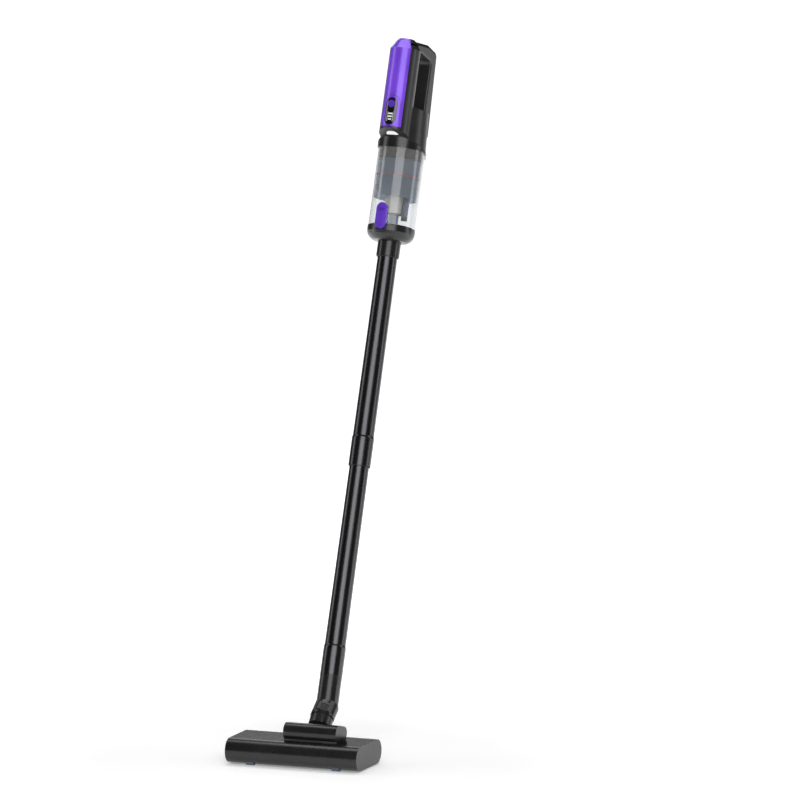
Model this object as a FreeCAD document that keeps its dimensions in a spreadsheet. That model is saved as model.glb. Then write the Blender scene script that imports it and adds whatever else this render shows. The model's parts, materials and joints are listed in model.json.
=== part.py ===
"""Cordless stick vacuum: floor head, neck, two-piece wand, clear dust cup and hand unit.

Frame: +Z up, millimetres, +X to the tool's right, -Y to the front. The origin lies on the floor
under the middle of the head, on the seal lip of its sole. The wand leans back in a plane of
constant X, which is the neck's plane.
"""
import FreeCAD, Part
import os
import re
import Sketcher
from FreeCAD import Placement, Rotation, Vector

DOC = FreeCAD.newDocument("StickVacuum")
SHEET = DOC.addObject("Spreadsheet::Sheet", "Sizes")

# Driving sizes: name, millimetres or degrees, meaning.
SIZES = [
    ("head_width", 230, "floor head, end to end"),
    ("head_depth", 112, "floor head, front to back"),
    ("head_thick", 40, "floor head, sole to top"),
    ("head_middle", 0, "middle of the head, front to back"),
    ("head_lift", 2, "sole above the floor"),
    ("head_wall", 2.5, "head shell wall"),
    ("cap_thick", 3, "end cap"),
    ("nose_seam", 33, "seam of the nose, in front of the origin"),
    ("bristle_radius", 14.5, "brush roll over the bristles"),
    ("core_radius", 8.5, "brush roll core"),
    ("brush_length", 190, "brush roll"),
    ("brush_back", 18, "brush roll axis, in front of the origin"),
    ("brush_height", 15.8, "brush roll axis above the floor"),
    ("brush_gap", 1.5, "room around the bristles"),
    ("stub_radius", 3, "brush roll stub shaft"),
    ("roller_radius", 5.5, "front roller"),
    ("roller_width", 13, "front roller"),
    ("roller_spread", 75, "front roller from the middle"),
    ("roller_front", 42.5, "front roller axis, in front of the origin"),
    ("wheel_radius", 8, "rear wheel"),
    ("wheel_width", 9, "rear wheel"),
    ("wheel_spread", 84, "rear wheel from the middle"),
    ("wheel_rear", 33, "rear wheel axis, behind the origin"),
    ("axle_radius", 1.5, "roller and wheel axles"),
    ("running", 0.05, "radial clearance of a running fit"),
    ("lip_width", 3, "seal lip behind the mouth"),
    ("neck_offset", 25, "neck plane, right of the head's middle"),
    ("hump_width", 92, "hinge cover on top of the head"),
    ("hump_front", 36, "hinge cover's nose, in front of the origin"),
    ("slot_width", 43, "slot of the hinge cover"),
    ("slot_front", 16.5, "front edge of the slot, in front of the origin"),
    ("neck_lean", 41, "neck from upright, degrees"),
    ("pivot_back", 2.2, "pivot, behind the origin"),
    ("hump_nose", 14.75, "front rounding of the hinge cover"),
    ("hump_tail", 12, "rear rounding of the hinge cover, round the pivot"),
    ("hump_slope", 13.4, "fall of the hinge cover's top towards the rear, degrees"),
    ("knee_lean", 55, "lower half of the elbow from upright, degrees"),
    ("knee_run", 26.1, "swivel joint to the bend"),
    ("knee_radius", 19.7, "lower half of the elbow"),
    ("catch_turn", 17, "elbow catch, turned to the right from the front, degrees"),
    ("neck_radius", 19, "lower neck"),
    ("neck_bore", 11.5, "air way of the neck"),
    ("barrel_radius", 11.4, "neck barrel"),
    ("barrel_width", 41.4, "neck barrel"),
    ("pin_radius", 4, "pivot pins"),
    ("swivel_at", 24.8, "swivel joint above the pivot"),
    ("ring_thick", 2.5, "swivel ring"),
    ("sleeve_radius", 13.5, "neck's sleeve inside the elbow"),
    ("hand_yaw", 4, "hand unit turned to the left about the wand, degrees"),
    ("wand_lean", 20.9, "wand from upright, degrees"),
    ("tube_start", 51, "bend to the lower tube"),
    ("tube_pitch", 347.3, "visible length of each tube"),
    ("insert_depth", 42, "tube end inside its socket"),
    ("spigot_radius", 16.2, "tube end and elbow spigot"),
    ("tube_radius", 17.4, "tube above its socket"),
    ("tube_wall", 1.7, "tube wall"),
    ("socket_radius", 18.3, "tube socket"),
    ("socket_length", 50, "tube socket"),
    ("slip", 0.3, "radial clearance of the push fits"),
    ("spout_length", 25, "spout below the lid"),
    ("spout_radius", 18.9, "spout"),
    ("lid_height", 24, "bowl of the lid"),
    ("lid_over", 0.6, "bowl of the lid, beyond the cup"),
    ("cup_radius", 38.6, "clear cup"),
    ("cup_wall", 2, "clear cup"),
    ("cup_height", 133, "clear cup"),
    ("collar_over", 1.8, "collar on the cup and housing rim, beyond the cup"),
    ("collar_height", 128, "lower edge of the collar above the cup's foot"),
    ("seam_height", 130.8, "slanted seam at the axis, above the cup's foot"),
    ("seam_slant", 20.9, "slanted seam, degrees"),
    ("pipe_radius", 9.5, "inlet pipe"),
    ("pipe_height", 21.5, "inlet pipe above the cup's foot"),
    ("core_filter_radius", 16.5, "filter core"),
    ("front_out", 37, "front tube's axis, in front of the wand axis"),
    ("front_radius", 25, "front tube"),
    ("front_top", 305, "front tube's top above the cup's foot"),
    ("front_bore", 21, "battery bay"),
    ("cover_thick", 1.8, "coloured front cover"),
    ("cover_half", 47, "half angle of the front cover, degrees"),
    ("cover_foot", 157, "front cover's lower edge"),
    ("grip_in", 35, "inner face of the grip, behind the axis"),
    ("grip_out", 58, "outer face of the grip, behind the axis"),
    ("grip_width", 30, "grip, side to side"),
    ("gap_low", 192, "finger gap, bottom"),
    ("gap_high", 288, "finger gap, top"),
    ("neck_top", 35, "radius of the housing's shoulder"),
    ("house_wall", 2.5, "housing wall"),
    ("panel_half", 14, "half width of the control panel"),
    ("panel_mid", 181.8, "middle of the control panel"),
    ("panel_tall", 52.6, "control panel, top to bottom"),
    ("button_radius", 6, "power button"),
    ("press_gap", 0.35, "clearance around push buttons"),
    ("cell_radius", 9.2, "battery cell"),
    ("cell_length", 65, "battery cell"),
    ("fan_radius", 28, "impeller"),
    ("motor_radius", 17, "motor can"),
    ("shaft_radius", 1.6, "motor shaft"),
]
for row, (alias, amount, meaning) in enumerate(SIZES, start=1):
    SHEET.set(f"A{row}", alias)
    SHEET.set(f"B{row}", str(amount))
    SHEET.set(f"C{row}", meaning)
    SHEET.setAlias(f"B{row}", alias)
DOC.recompute()

ALIASES = {name for name, _, _ in SIZES}
X_AXIS, Y_AXIS, Z_AXIS = Vector(1, 0, 0), Vector(0, 1, 0), Vector(0, 0, 1)
UPRIGHT = Rotation()
ALONG_X = Rotation(Y_AXIS, 90)
ALONG_Y = Rotation(X_AXIS, -90)
PARTS = []


def linked(text):
    """An expression on the sheet from one that uses the bare size names."""
    return re.sub(r"[a-z_]+", lambda word: "Sizes." + word[0] if word[0] in ALIASES else word[0], str(text))


def number(text):
    return float(SHEET.evalExpression(linked(text)))


def bind(thing, **sizes):
    for key, text in sizes.items():
        thing.setExpression(key, linked(text))
    return thing


def put(thing, place, turn=UPRIGHT):
    thing.Placement = Placement(Vector(), turn)
    for axis, text in zip("xyz", place):
        thing.setExpression("Placement.Base." + axis, linked(text))
    return thing


def tilt(thing, angle, axis=X_AXIS):
    """Turn a piece of stock about its own origin by an angle of the sheet."""
    thing.Placement = Placement(thing.Placement.Base, Rotation(axis, max(number(angle), 0.001)))
    thing.setExpression("Placement.Rotation.Angle", linked(angle))
    return thing


# ---------------------------------------------------------------- stock shapes
def box(name, low, size):
    stock = bind(DOC.addObject("Part::Box", name), Length=size[0], Width=size[1], Height=size[2])
    return put(stock, low)


def block(name, middle, size):
    """A box placed by its middle."""
    low = [f"({at}) - ({span}) / 2" for at, span in zip(middle, size)]
    return box(name, low, size)


def rod(name, radius, length, start=("0", "0", "0"), turn=UPRIGHT):
    return put(bind(DOC.addObject("Part::Cylinder", name), Radius=radius, Height=length), start, turn)


def cross_rod(name, radius, length, middle):
    """A cylinder along X, placed by its middle."""
    start = (f"({middle[0]}) - ({length}) / 2", middle[1], middle[2])
    return rod(name, radius, length, start, ALONG_X)


def cone(name, low_radius, top_radius, length, start=("0", "0", "0")):
    stock = bind(DOC.addObject("Part::Cone", name), Radius1=low_radius, Radius2=top_radius, Height=length)
    return put(stock, start)


def ball(name, radius, middle=("0", "0", "0")):
    return put(bind(DOC.addObject("Part::Sphere", name), Radius=radius), middle)


def outline(name, corners, turn):
    """A closed sketch whose corners are pairs of expressions."""
    sketch = DOC.addObject("Sketcher::SketchObject", name)
    sketch.Placement = Placement(Vector(), turn)
    spots = [Vector(number(across), number(up), 0) for across, up in corners]
    count = len(spots)
    for index in range(count):
        sketch.addGeometry(Part.LineSegment(spots[index], spots[(index + 1) % count]), False)
    for index in range(count):
        sketch.addConstraint(Sketcher.Constraint("Coincident", index, 2, (index + 1) % count, 1))
    for index, (across, up) in enumerate(corners):
        for kind, text in (("DistanceX", across), ("DistanceY", up)):
            rule = sketch.addConstraint(Sketcher.Constraint(kind, index, 1, number(text)))
            sketch.setExpression(f"Constraints[{rule}]", linked(text))
    return sketch


def turned(name, corners):
    """A solid of revolution about Z from (radius, height) corners."""
    lathe = DOC.addObject("Part::Revolution", name)
    lathe.Source = outline(name + "_outline", corners, Rotation(X_AXIS, 90))
    lathe.Axis, lathe.Base, lathe.Angle, lathe.Solid = (0, 0, 1), (0, 0, 0), 360, True
    return lathe


def prism(name, corners, width, middle="0"):
    """A (depth, height) outline extruded along X, half to each side of the middle."""
    stock = DOC.addObject("Part::Extrusion", name)
    stock.Base = outline(name + "_outline", corners, Rotation(Vector(1, 1, 1), 120))
    stock.DirMode, stock.Solid, stock.Symmetric = "Normal", True, True
    bind(stock, LengthFwd=width)
    return put(stock, (middle, "0", "0"))


def joined(name, *stock):
    fusion = DOC.addObject("Part::MultiFuse", name)
    fusion.Shapes, fusion.Refine = list(stock), True
    return fusion


def cut(name, stock, *tools):
    result = DOC.addObject("Part::Cut", name)
    result.Base = stock
    result.Tool = tools[0] if len(tools) == 1 else joined(name + "_tools", *tools)
    result.Refine = True
    return result


def common(name, *stock):
    result = DOC.addObject("Part::MultiCommon", name)
    result.Shapes, result.Refine = list(stock), True
    return result


def group(name, *stock):
    """Separate solids of one part number."""
    bundle = DOC.addObject("Part::Compound", name)
    bundle.Links = list(stock)
    return bundle


def rounded(name, stock, radius, wanted):
    """Fillet of the edges that a test on each edge picks."""
    DOC.recompute()
    result = DOC.addObject("Part::Fillet", name)
    result.Base = stock
    size = number(radius)
    edges = stock.Shape.Edges
    result.Edges = [(index, size, size) for index, edge in enumerate(edges, start=1) if wanted(edge)]
    return result


def ring(name, outer, inner, height, low="0"):
    return cut(name, rod(name + "_disc", outer, height, ("0", "0", low)),
               rod(name + "_hole", inner, f"({height}) + 2", ("0", "0", f"({low}) - 1")))


def ring_at(name, outer, inner, height, across, deep, low):
    return cut(name, rod(name + "_disc", outer, height, (across, deep, low)),
               rod(name + "_hole", inner, f"({height}) + 2", (across, deep, f"({low}) - 1")))


def stadium(name, width, depth, height, middle):
    """A flat bar along X with fully round front and back."""
    across, deep, up = middle
    half = f"(({depth}) - ({height})) / 2"
    return joined(name,
                  block(name + "_flat", middle, (width, f"({depth}) - ({height})", height)),
                  cross_rod(name + "_front", f"({height}) / 2", width, (across, f"({deep}) - {half}", up)),
                  cross_rod(name + "_back", f"({height}) / 2", width, (across, f"({deep}) + {half}", up)))


# ---------------------------------------------------------------- frames
PIVOT_Y = "pivot_back"
PIVOT_Z = "(head_lift + head_thick + hump_tail)"
SWIVEL_AT = "(swivel_at + ring_thick)"
SWIVEL_Y = f"({PIVOT_Y} + {SWIVEL_AT} * sin(neck_lean))"
SWIVEL_Z = f"({PIVOT_Z} + {SWIVEL_AT} * cos(neck_lean))"
BEND_Y = f"({SWIVEL_Y} + knee_run * sin(knee_lean))"
BEND_Z = f"({SWIVEL_Z} + knee_run * cos(knee_lean))"


def along_wand(distance):
    """A point on the wand axis, a distance up from the bend."""
    return ("neck_offset", f"{BEND_Y} + ({distance}) * sin(wand_lean)", f"{BEND_Z} + ({distance}) * cos(wand_lean)")


FRAMES = {
    "floor": (("0", "0", "0"), None),
    "neck": (("neck_offset", PIVOT_Y, PIVOT_Z), "neck_lean"),
    "knee": (("neck_offset", SWIVEL_Y, SWIVEL_Z), "knee_lean"),
    "lower": (along_wand("tube_start"), "wand_lean"),
    "upper": (along_wand("tube_start + tube_pitch"), "wand_lean"),
    "hand": (along_wand("tube_start + 2 * tube_pitch + spout_length + lid_height"), "wand_lean"),
}


def keep(thing, label, frame="floor"):
    """Label a finished sub-part and move it from its own frame to the tool's."""
    place, lean = FRAMES[frame]
    if not lean:
        thing.Label = label
    else:
        if frame == "hand" or any("Placement" in path for path, _ in thing.ExpressionEngine):
            thing = group(label + "_piece", thing)
        if frame == "hand":
            thing.Placement = Placement(Vector(), Rotation(Vector(0, 0, -1), number("hand_yaw")))
            thing.setExpression("Placement.Rotation.Angle", linked("hand_yaw"))
            thing = group(label + "_turned", thing)
        thing.Label = label
        thing.Placement = Placement(Vector(), Rotation(Vector(-1, 0, 0), number(lean)))
        thing.setExpression("Placement.Rotation.Angle", linked(lean))
        for axis, text in zip("xyz", place):
            thing.setExpression("Placement.Base." + axis, linked(text))
    PARTS.append(thing)
    return thing


# ---------------------------------------------------------------- floor head
HEAD_Z = "(head_lift + head_thick / 2)"
SHELL_WIDTH = "(head_width - 2 * cap_thick)"
BRUSH = ("0", "-brush_back", "brush_height")


def head_bar(name, width, inset="0"):
    depth, height = f"head_depth - 2 * ({inset})", f"head_thick - 2 * ({inset})"
    return stadium(name, width, depth, height, ("0", "head_middle", HEAD_Z))


def head_shell(name, region):
    """One moulding of the head's shell: its share of the wall, open at the brush mouth."""
    wall = cut(name + "_wall", head_bar(name + "_out", SHELL_WIDTH),
               head_bar(name + "_in", f"{SHELL_WIDTH} + 2", "head_wall"))
    share = common(name + "_share", wall, region)
    swept = cross_rod(name + "_swept", "bristle_radius + brush_gap", "brush_length + 6", BRUSH)
    mouth = box(name + "_mouth", ("-brush_length / 2 - 3", "-brush_back - bristle_radius - brush_gap", "-1"),
                ("brush_length + 6", "2 * bristle_radius + 2 * brush_gap", "brush_height"))
    return cut(name + "_open", share, swept, mouth)


def wells(name, spread, width, radius, depth_at, height_at):
    """Clearance pockets for a pair of small wheels."""
    return [cross_rod(f"{name}{side}", f"{radius} + 1", f"{width} + 2", (f"{sign}{spread}", depth_at, height_at))
            for side, sign in (("l", "-"), ("r", ""))]


SCREWS = ((-50, 20), (50, 20), (-102, 16), (102, 16))
FRONT_ROLLERS = ("roller_spread", "roller_width", "roller_radius", "-roller_front", "roller_radius")
REAR_WHEELS = ("wheel_spread", "wheel_width", "wheel_radius", "wheel_rear", "wheel_radius")


def axle_ribs(name, spread, width, radius, depth_at, height_at):
    """Upright ribs on both sides of each wheel that clasp its axle."""
    ribs = []
    for index, (side, out) in enumerate((("-", "-"), ("-", "+"), ("", "-"), ("", "+"))):
        across = f"{side}{spread} {out} ({width} / 2 + 2.1)"
        ribs.append(box(f"{name}_rib{index}", (f"{across} - 1", f"{depth_at} - 3", "head_lift + 1.8"),
                        ("2", "6", f"{height_at} + 1")))
    return ribs


def wheel_axles(name, spread, width, radius, depth_at, height_at):
    return [cross_rod(f"{name}_axle_{side}", "axle_radius", f"{width} + 6", (f"{sign}{spread}", depth_at, height_at))
            for side, sign in (("left", "-"), ("right", ""))]


DUCT = ("neck_bore * 2 - 4", "22", "6")


def head_nose():
    region = box("nose_region", ("-head_width", "-head_depth", "0"),
                 ("2 * head_width", "head_depth - nose_seam", "2 * head_thick"))
    shell = cut("nose_cut", head_shell("nose", region), *wells("nose_well", *FRONT_ROLLERS))
    solid = joined("nose_solid", shell, *axle_ribs("nose", *FRONT_ROLLERS))
    keep(cut("nose_done", solid, *wheel_axles("nose", *FRONT_ROLLERS)), "head_nose")


def head_cover():
    region = box("cover_region", ("-head_width", "-nose_seam", HEAD_Z),
                 ("2 * head_width", "head_depth + nose_seam", "head_thick"))
    duct = block("cover_duct", ("neck_offset", PIVOT_Y, "head_lift + head_thick"), DUCT)
    keep(cut("cover_cut", head_shell("cover", region), duct), "head_cover")


def head_base():
    region = box("base_region", ("-head_width", "-nose_seam", "0"),
                 ("2 * head_width", "head_depth + nose_seam", HEAD_Z))
    shell = cut("base_cut", head_shell("base", region), *wells("base_well", *REAR_WHEELS))
    wall = box("base_bulkhead", ("-brush_length / 2 - 3", "-lip_width / 2", "head_lift"),
               ("brush_length + 6", "lip_width", "head_thick - head_wall - 0.3"))
    window = block("base_window", ("neck_offset", "0", HEAD_Z), ("2 * neck_bore", "10", "head_thick / 2"))
    groove = block("base_groove", ("0", "0", "head_lift"), ("brush_length", "lip_width", "4"))
    solid = joined("base_solid", shell, cut("base_wall", wall, window), *screw_bosses(),
                   *axle_ribs("base", *REAR_WHEELS))
    axles = wheel_axles("base", *REAR_WHEELS)
    keep(cut("base_done", solid, groove, *axles, *head_screws("sunk")), "head_base")


def end_cap(side, sign):
    """End cap with the seat of a brush bearing on its inner face."""
    plate = common(f"cap_{side}", head_bar(f"cap_bar_{side}", "head_width"),
                   block(f"cap_region_{side}", (f"{sign}(head_width - cap_thick) / 2", "head_middle", HEAD_Z),
                         ("cap_thick", "2 * head_depth", "2 * head_thick")))
    middle = (f"{sign}(head_width / 2 - cap_thick - 4)", BRUSH[1], BRUSH[2])
    boss = cross_rod(f"cap_boss_{side}", "core_radius", "8", middle)
    seat = cross_rod(f"cap_seat_{side}", "stub_radius * 2", "8", middle)
    keep(joined(f"cap_done_{side}", plate, cut(f"cap_cup_{side}", boss, seat)), f"end_cap_{side}")


def hump_bar(name, width, across, inset="0"):
    """Bar along X: a large round nose, a smaller round tail about the pivot and a sloping top."""
    nose_y, nose_z = "(hump_nose - hump_front)", "(head_lift + head_thick + hump_nose)"
    nose, tail = f"(hump_nose - ({inset}))", f"(hump_tail - ({inset}))"
    core = prism(name + "_core", [
        (nose_y, f"{nose_z} - {nose}"), (PIVOT_Y, f"{PIVOT_Z} - {tail}"),
        (f"{PIVOT_Y} + {tail} * sin(hump_slope)", f"{PIVOT_Z} + {tail} * cos(hump_slope)"),
        (f"{nose_y} + {nose} * sin(hump_slope)", f"{nose_z} + {nose} * cos(hump_slope)")], width, across)
    return joined(name, core, cross_rod(name + "_nose", nose, width, (across, nose_y, nose_z)),
                  cross_rod(name + "_tail", tail, width, (across, PIVOT_Y, PIVOT_Z)))


def hinge_cover():
    """Hump on the head that carries the neck's pivot between two hollow cheeks."""
    body = hump_bar("hump", "hump_width", "neck_offset")
    foot = box("hump_foot", ("neck_offset - hump_width / 2", "-hump_front + 4", "head_lift + head_thick"),
               ("hump_width", f"{PIVOT_Y} + hump_tail + hump_front - 8", "4"))
    slot = box("hump_slot", ("neck_offset - slot_width / 2", "-slot_front", "0"),
               ("slot_width", "head_depth", "head_thick * 3"))
    cheek = "((hump_width - slot_width) / 2)"
    rooms = []
    for side, sign in (("l", "-"), ("r", "+")):
        at = f"neck_offset {sign} (slot_width / 2 + {cheek} / 2)"
        rooms.append(hump_bar(f"hump_room_{side}", f"{cheek} - 2 * head_wall", at, "head_wall"))
    bore = cross_rod("hump_bore", "pin_radius", "slot_width + 3 * head_wall", ("neck_offset", PIVOT_Y, PIVOT_Z))
    keep(cut("hump_done", joined("hump_solid", body, foot), slot, bore, *rooms), "hinge_cover")


def pivot_pins():
    pins = []
    for side, sign in (("l", "-"), ("r", "+")):
        at = f"neck_offset {sign} (slot_width / 2 - 1)"
        pins.append(cross_rod(f"pin_{side}", "pin_radius", "9", (at, PIVOT_Y, PIVOT_Z)))
    keep(group("pins", *pins), "pivot_pins")


def seal_lip():
    keep(box("lip", ("-brush_length / 2", "-lip_width / 2", "0"),
             ("brush_length", "lip_width", "head_lift + 2")), "seal_lip")


def brush_bearings():
    bushes = []
    for side, sign in (("l", "-"), ("r", "")):
        middle = (f"{sign}(head_width / 2 - cap_thick - 4)", BRUSH[1], BRUSH[2])
        bushes.append(cut(f"bush_{side}", cross_rod(f"bush_body_{side}", "stub_radius * 2", "8", middle),
                          cross_rod(f"bush_bore_{side}", "stub_radius + running", "9", middle)))
    keep(group("bushes", *bushes), "brush_bearings")


def brush_roll():
    core = cross_rod("core_bar", "core_radius", "brush_length", BRUSH)
    stubs = cross_rod("core_stubs", "stub_radius", "head_width - 2 * cap_thick - 2", BRUSH)
    solid = joined("core_solid", core, stubs)
    strips = []
    grooves = []
    for index in range(6):
        turn = Rotation(X_AXIS, 60 * index)
        for kind, gather, spare in (("strip", strips, "0"), ("groove", grooves, "4")):
            length = f"brush_length - 4 + {spare}"
            strip = bind(DOC.addObject("Part::Box", f"{kind}{index}"), Length=length, Width="3",
                         Height="bristle_radius - core_radius + 2")
            strip = put(strip, (f"-({length}) / 2", "-1.5", "core_radius - 2"))
            gather.append(turned_about_brush(f"{kind}_turned{index}", strip, turn))
    keep(cut("core_done", solid, *grooves), "brush_core")
    keep(group("strips", *strips), "brush_bristles")


def turned_about_brush(name, stock, turn):
    holder = DOC.addObject("Part::Compound", name)
    holder.Links = [stock]
    return put(holder, BRUSH, turn)


def small_wheels(label, spread, width, radius, depth_at, height_at):
    """A pair of wheels on plain axles that are held by ribs of the sole."""
    for side, sign in (("left", "-"), ("right", "")):
        middle = (f"{sign}{spread}", depth_at, height_at)
        tyre = cross_rod(f"{label}_tyre_{side}", radius, width, middle)
        bore = cross_rod(f"{label}_bore_{side}", "axle_radius + running", f"{width} + 2", middle)
        keep(cut(f"{label}_done_{side}", tyre, bore), f"{label}_{side}")


def head_running_gear():
    small_wheels("front_roller", *FRONT_ROLLERS)
    small_wheels("rear_wheel", *REAR_WHEELS)
    keep(group("axles", *wheel_axles("front", *FRONT_ROLLERS), *wheel_axles("rear", *REAR_WHEELS)), "wheel_axles")


def head_screws(name):
    """Four screws that hold the base to the cover, heads sunk into the sole."""
    screws = []
    for index, (across, deep) in enumerate(SCREWS):
        middle = (str(across), str(deep), "head_lift + 0.4")
        head = rod(f"{name}_head{index}", "2.8", "head_wall - 0.4", middle)
        shank = rod(f"{name}_shank{index}", "1.4", "14", (middle[0], middle[1], "head_lift + head_wall"))
        screws.append(joined(f"{name}{index}", head, shank))
    return screws


def screw_bosses():
    return [rod(f"screw_boss{index}", "3.6", "15", (str(across), str(deep), "head_lift + head_wall - 0.5"))
            for index, (across, deep) in enumerate(SCREWS)]


# ---------------------------------------------------------------- neck and elbow
def neck():
    """Barrel and lower neck: a hollow moulding that pitches on the pivot pins."""
    barrel = cross_rod("barrel", "barrel_radius", "barrel_width", ("0", "0", "0"))
    throat = cone("throat", "barrel_radius - 1", "neck_radius", "9", ("0", "0", "2"))
    body = rod("neck_body", "neck_radius", "swivel_at - 11", ("0", "0", "11"))
    sleeve = rod("neck_sleeve", "sleeve_radius", "ring_thick + 5.6", ("0", "0", "swivel_at"))
    bore = rod("neck_air", "neck_bore", "swivel_at + 20", ("0", "0", "10"))
    low_bore = rod("neck_low_air", "barrel_radius - 3.4", "40", ("0", "0", "-20"))
    holes = cross_rod("neck_holes", "pin_radius + running", "barrel_width + 4", ("0", "0", "0"))
    solid = joined("neck_solid", barrel, throat, body, sleeve)
    keep(cut("neck_done", solid, bore, low_bore, holes), "neck", "neck")


def swivel_ring():
    keep(ring("swivel", "neck_radius - 1.2", "sleeve_radius", "ring_thick - 0.3", "swivel_at"), "swivel_ring", "neck")


def bend_part(name, lower, upper, reach):
    """Stock of the elbow: a straight run, a ball at the bend and a run along the wand."""
    run = rod(name + "_run", lower, "knee_run")
    knee = put(ball(name + "_knee", upper), ("0", "0", "knee_run"))
    return [run, knee, from_bend(rod(name + "_spigot", upper, reach))]


def from_bend(stock):
    """Move stock to the bend and turn it along the wand."""
    tilt(stock, "knee_lean - wand_lean").setExpression("Placement.Base.z", linked("knee_run"))
    return stock


CATCH_UP, CATCH_OUT = "8.6", "-knee_radius"


def round_knee(name, stock):
    """Turn stock about the elbow's lower axis, to where the catch sits."""
    holder = group(name, stock)
    holder.Placement = Placement(Vector(), Rotation(Z_AXIS, number("catch_turn")))
    holder.setExpression("Placement.Rotation.Angle", linked("catch_turn"))
    return holder


def elbow():
    outer = bend_part("elbow_out", "knee_radius", "knee_radius - 1.6", "tube_start")
    reach = from_bend(rod("elbow_reach", "spigot_radius", "tube_start + insert_depth"))
    base = tilt(rod("elbow_base", "knee_radius", "4"), "knee_lean - neck_lean")
    seat = round_knee("elbow_seat", block("elbow_pad", ("0", f"{CATCH_OUT} + 2.6", CATCH_UP), ("20", "6", "16.4")))
    inner = bend_part("elbow_in", "neck_bore", "neck_bore", "tube_start + insert_depth + 20")
    start = tilt(rod("elbow_start", "sleeve_radius + running", "6.2"), "knee_lean - neck_lean")
    below = tilt(rod("elbow_below", "60", "60"), "knee_lean - neck_lean")
    pocket = round_knee("elbow_pocket", block("pocket_room", ("0", f"{CATCH_OUT} + 0.3", CATCH_UP),
                                              ("16.7", "6", "13.7")))
    solid = common("elbow_above", joined("elbow_solid", *outer, reach, base, seat),
                   joined("elbow_keep", below, from_bend(rod("elbow_far", "60", "200"))))
    keep(cut("elbow_done", solid, start, *inner, pocket), "elbow", "knee")


def elbow_button():
    """Ribbed catch that frees the wand from the elbow."""
    plate = block("catch_plate", ("0", f"{CATCH_OUT} + 0.8", CATCH_UP), ("16", "2.4", "13"))
    ribs = [block(f"catch_rib{index}", ("0", f"{CATCH_OUT} - 0.9", f"{CATCH_UP} - 4.9 + {index} * 3.3"),
                  ("14", "1.2", "1.4")) for index in range(4)]
    keep(round_knee("catch_turned", joined("catch", plate, *ribs)), "elbow_button", "knee")


# ---------------------------------------------------------------- wand
def wand_tube(name, label, frame, with_hole):
    """Tube with a socket at its foot and a plain end that enters the next socket."""
    body = turned(name + "_body", [
        ("socket_radius - 1.6", "0"), ("socket_radius", "0"), ("socket_radius", "socket_length - 3"),
        ("tube_radius", "socket_length"), ("spigot_radius", "tube_pitch"),
        ("spigot_radius", "tube_pitch + insert_depth"),
        ("spigot_radius - tube_wall", "tube_pitch + insert_depth"),
        ("spigot_radius - tube_wall", "socket_length + 6"), ("spigot_radius + slip", "socket_length"),
        ("spigot_radius + slip", "0.1"), ("socket_radius - 1.6", "0.1")])
    if with_hole:
        hole = rod(name + "_hole", "1.8", "10", ("0", "-socket_radius - 2", "socket_length - 6"), ALONG_Y)
        body = cut(name + "_done", body, hole)
    keep(body, label, frame)


# ---------------------------------------------------------------- dust cup
HINGE_Y = "(cup_radius + 4.6)"
LATCH_Y = "(-cup_radius - 5.2)"
LATCH_Z = "12"


def cup_lid():
    """Bowl-shaped lid with the spout that takes the wand; one turned moulding."""
    low = "(-lid_height - spout_length)"
    bore = "spigot_radius + slip"
    bowl = turned("lid", [
        (bore, low), ("spout_radius", low), ("spout_radius", "-lid_height"), ("cup_radius + lid_over - 15", "-lid_height"),
        ("cup_radius + lid_over - 9.7", "-lid_height + 1.4"), ("cup_radius + lid_over - 5.2", "-lid_height + 4.6"),
        ("cup_radius + lid_over - 1.9", "-lid_height + 9"),
        ("cup_radius + lid_over - 0.3", "-lid_height + 14"), ("cup_radius + lid_over", "-lid_height + 19"), ("cup_radius + lid_over", "-0.3"),
        ("cup_radius + lid_over - 5", "-0.3"), ("cup_radius + lid_over - 5", "-8"), ("cup_radius + lid_over - 7.2", "-15"), ("spout_radius + 5", "-19.5"),
        ("spout_radius + 1", "-lid_height + 2.6"), ("spout_radius + 1", "-1"), ("pipe_radius", "-1"),
        ("pipe_radius", "-3"), (bore, "-3")])
    arm = block("lid_arm", ("0", f"{HINGE_Y} - 3.2", "-4"), ("11.6", "6.2", "6.4"))
    knuckle = cross_rod("lid_eye", "3.4", "11.6", ("0", HINGE_Y, "0"))
    clear = rod("lid_clear", "cup_radius + 0.5", "40", ("0", "0", "-0.3"))
    bore = cross_rod("lid_knuckle_bore", "1.6 + running", "20", ("0", HINGE_Y, "0"))
    keep(joined("lid_whole", bowl, cut("lid_hinge", joined("lid_hinge_stock", arm, knuckle), clear, bore)),
         "cup_lid", "hand")


def inlet_pipe():
    keep(ring("pipe", "pipe_radius", "pipe_radius - 1.5", "pipe_height + 3", "-3"), "inlet_pipe", "hand")


def lid_seal():
    keep(ring("seal", "cup_radius + lid_over - 5", "cup_radius + lid_over - 8", "5", "-3.5"), "lid_seal", "hand")


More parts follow.
